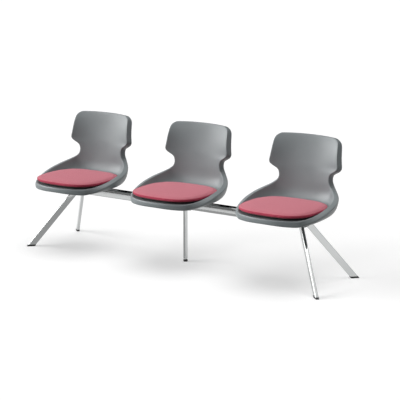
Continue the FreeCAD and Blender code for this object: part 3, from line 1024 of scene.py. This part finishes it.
class Metalwork:
    """The beam, legs, brackets, fasteners, boards, caps and feet, whose shapes stay the CAD's."""

    WELD_GAP = 0.00001
    SHARP_DEGREES = 32

    def __init__(self, finishes: Finishes) -> None:
        """Keeps which ending of a node's name gets which finish."""
        self.by_ending = {
            "beam_tube": finishes.chrome,
            "leg_saddle": finishes.chrome,
            "_leg": finishes.chrome,
            "_cap": finishes.black,
            "_foot": finishes.black,
            "leg_insert": finishes.black,
            "pad_studs": finishes.black,
            "seat_bracket": finishes.powder,
            "_bolts": finishes.zinc,
            "_nuts": finishes.zinc,
            "_screws": finishes.zinc,
            "shell_inserts": finishes.brass,
            # the boards' near-black finish is painted shade for the gap under the cushions
            "pad_board": finishes.birch,
        }

    def finish_of(self, node: str) -> bpy.types.Material | None:
        """The finish of a node, by the longest ending that fits its name."""
        fitting = [e for e in self.by_ending if node.endswith(e)]
        return self.by_ending[max(fitting, key=len)] if fitting else None

    def soften(self, piece: bpy.types.Object) -> None:
        """Welds the imported facets and smooths them up to the real edges, moving no point.

        Args:
            piece: The CAD node.
        """
        mesh = piece.data
        if "custom_normal" in mesh.attributes:
            mesh.attributes.remove(mesh.attributes["custom_normal"])
        mesh.polygons.foreach_set("use_smooth", [True] * len(mesh.polygons))
        weld = piece.modifiers.new("weld", "WELD")
        weld.merge_threshold = self.WELD_GAP
        split = piece.modifiers.new("edges", "EDGE_SPLIT")
        split.split_angle = math.radians(self.SHARP_DEGREES)

    def build(self, nodes: dict[str, bpy.types.Object]) -> None:
        """Dresses every node that has a finish.

        Args:
            nodes: The CAD nodes by name.
        """
        dressed = 0
        for name, piece in nodes.items():
            finish = self.finish_of(name)
            if finish is None:
                continue
            piece.data.materials.clear()
            piece.data.materials.append(finish)
            self.soften(piece)
            dressed += 1
        log.info("metalwork: %d nodes dressed", dressed)


@dataclass(frozen=True)
class Studio:
    """Floor, soft light, cards for the reflections and the camera at the photograph's angle."""

    camera_place: tuple = (3.990, -5.988, 2.022)
    azimuth: float = 33.0
    elevation: float = 12.94
    lens: float = 114.2
    sensor: float = 36.0
    view_end: float = 200.0
    sky: float = 0.15
    # each lamp: strength, how wide it looks in degrees, the way that its light travels
    key: tuple = (3.4, 45.0, (0.82, 0.50, -0.28))
    top: tuple = (1.5, 50.0, (-0.10, -0.02, -1.0))
    floor_corner: tuple = (40.0, 40.0, 0.0)
    floor_tone: float = 0.72
    floor_bounce: float = 0.22
    floor_lift: float = 0.37
    # each card: name, brightness, two opposite corners; it lies flat or stands along X
    card_sheets: tuple = (
        ("card_front", 0.2, (-4.0, -2.6, 0.004), (3.0, -1.28, 0.004)),
        ("card_back", 0.0, (-14.0, 6.0, 0.7), (8.0, 6.0, 3.2)),
        ("card_wall", 0.0, (-1.5, -10.0, 0.0), (9.0, -10.0, 6.0)),
        ("card_grey", 0.50, (-1.0, -1.1, 0.004), (0.2, -0.06, 0.004)),
    )

    def seen_by(self, tree: bpy.types.NodeTree, *rays: str) -> bpy.types.NodeSocket:
        """Tells rays of some kinds from the others.

        Args:
            tree: The node tree.
            rays: The kinds, as the light path names them.

        Returns:
            An output that is 1 for these rays and 0 for others.
        """
        path = add_node(tree, "ShaderNodeLightPath")
        seen = path.outputs[rays[0]]
        for ray in rays[1:]:
            seen = add_node(
                tree, "ShaderNodeMath", {0: seen, 1: path.outputs[ray]},
                operation="MAXIMUM").outputs[0]
        return seen

    def sheet(self, name: str, low: tuple, high: tuple,
              material: bpy.types.Material) -> bpy.types.Object:
        """A flat rectangle between two opposite corners, with two sides along X."""
        points = np.array([low, (high[0], *low[1:]), high, (low[0], *high[1:])])
        return new_object(name, points, [(0, 1, 2, 3)], [material])

    def background(self) -> None:
        """A white surround for the camera and for reflections, and a soft even sky as light."""
        world = bpy.data.worlds.new("studio")
        bpy.context.scene.world = world
        world.use_nodes = True
        tree = world.node_tree
        tree.nodes.clear()
        seen = self.seen_by(tree, "Is Camera Ray", "Is Glossy Ray", "Is Transmission Ray")
        level = add_node(tree, "ShaderNodeMapRange", {
            "Value": seen, "To Min": self.sky, "To Max": 1.0})
        back = add_node(tree, "ShaderNodeBackground", {
            "Color": linear("FFFFFF"), "Strength": level.outputs["Result"]})
        add_node(tree, "ShaderNodeOutputWorld", {"Surface": back.outputs["Background"]})

    def floor(self) -> None:
        """A floor that keeps the shadow: pale to the camera and reflections, darker as bounce."""
        material, tree = new_material("pale_floor")
        seen = self.seen_by(tree, "Is Camera Ray", "Is Glossy Ray")
        lift = add_node(tree, "ShaderNodeMath", {0: seen, 1: self.floor_lift}, operation="MULTIPLY")
        tone = add_node(tree, "ShaderNodeMapRange", {
            "Value": seen, "To Min": self.floor_bounce, "To Max": self.floor_tone})
        paint = add_node(tree, "ShaderNodeBsdfDiffuse", {"Color": tone.outputs["Result"]})
        glow = add_node(tree, "ShaderNodeEmission", {
            "Color": linear("FFFFFF"), "Strength": lift.outputs[0]})
        both = add_node(tree, "ShaderNodeAddShader", {0: paint.outputs[0], 1: glow.outputs[0]})
        add_node(tree, "ShaderNodeOutputMaterial", {"Surface": both.outputs[0]})
        x, y, z = self.floor_corner
        self.sheet("floor", (-x, -y, z), (x, y, z), material)

    def cards(self) -> None:
        """Dark and grey cards that only reflections see, for the polished metal's dark sides."""
        for name, brightness, low, high in self.card_sheets:
            material, tree = new_material(name)
            glow = add_node(tree, "ShaderNodeEmission", {
                "Color": linear("FFFFFF"), "Strength": brightness})
            add_node(tree, "ShaderNodeOutputMaterial", {"Surface": glow.outputs[0]})
            card = self.sheet(name, low, high, material)
            card.visible_camera = card.visible_diffuse = card.visible_shadow = False

    def lamp(self, name: str, strength: float, width: float, towards: tuple) -> None:
        """One broad, far lamp.

        Args:
            name: Its name.
            strength: Its strength.
            width: How wide it looks from the object, in degrees.
            towards: The direction that its light travels in.
        """
        light = bpy.data.lights.new(name, "SUN")
        light.energy, light.angle = strength, math.radians(width)
        lamp = bpy.data.objects.new(name, light)
        lamp.rotation_mode = "QUATERNION"
        lamp.rotation_quaternion = Vector(towards).to_track_quat("-Z", "Y")
        bpy.context.scene.collection.objects.link(lamp)

    def camera(self) -> None:
        """The camera, where the photograph was taken from."""
        data = bpy.data.cameras.new("camera")
        data.lens, data.sensor_width = self.lens, self.sensor
        data.clip_end = self.view_end
        camera = bpy.data.objects.new("camera", data)
        a, e = math.radians(self.azimuth), math.radians(self.elevation)
        forward = Vector((-math.sin(a) * math.cos(e), math.cos(a) * math.cos(e), -math.sin(e)))
        camera.location = self.camera_place
        camera.rotation_mode = "QUATERNION"
        camera.rotation_quaternion = forward.to_track_quat("-Z", "Y")
        bpy.context.scene.collection.objects.link(camera)
        bpy.context.scene.camera = camera

    def build(self) -> None:
        """Builds the whole studio."""
        bpy.context.scene.view_settings.view_transform = "Standard"
        self.background()
        self.floor()
        self.lamp("key_lamp", *self.key)
        self.lamp("top_lamp", *self.top)
        self.cards()
        self.camera()
        log.info("studio ready")


def main() -> None:
    """Builds every sub-assembly in order."""
    logging.basicConfig(level=logging.INFO, format="%(name)s: %(message)s")
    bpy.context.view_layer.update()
    Studio().build()
    finishes = Finishes.all()
    Metalwork(finishes).build(frame["nodes"])
    shells = MouldedShell(ShellForm(), finishes)
    for seat in Seat:
        shells.build(seat)
    SeatPad(PadForm(), finishes).build()
    bpy.context.view_layer.update()


if __name__ == "__main__":
    main()
